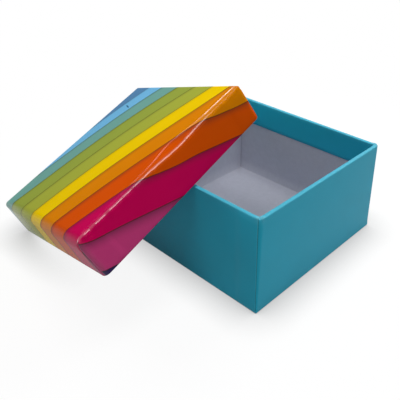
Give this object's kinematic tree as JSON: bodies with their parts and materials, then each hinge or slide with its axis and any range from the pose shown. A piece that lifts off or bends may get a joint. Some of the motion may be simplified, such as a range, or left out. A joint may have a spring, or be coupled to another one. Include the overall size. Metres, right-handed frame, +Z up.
{
  "type": "set-up box with lift-off lid",
  "caption": "Square rigid cardboard box wrapped in teal paper, its striped lift-off lid lying askew over one corner.",
  "frame": {"origin": "middle of the tray's underside, on the surface that the box stands on", "axes": "+Z up, X and Y along the tray's walls; the lid leans over the tray's corner at -X -Y"},
  "size_m": [0.146, 0.1592, 0.0892],
  "materials": {
    "greyboard": "smooth pale grey board, matt",
    "teal_paper": "matt uncoated teal wrapping paper, fine fibre texture",
    "striped_paper": "laminated gloss paper printed with diagonal rainbow stripes"
  },
  "bodies": {
    "root": {"tray_board": "greyboard", "tray_wrap": "teal_paper", "lid_board": "greyboard", "lid_wrap": "striped_paper"}
  },
  "joints": []
}
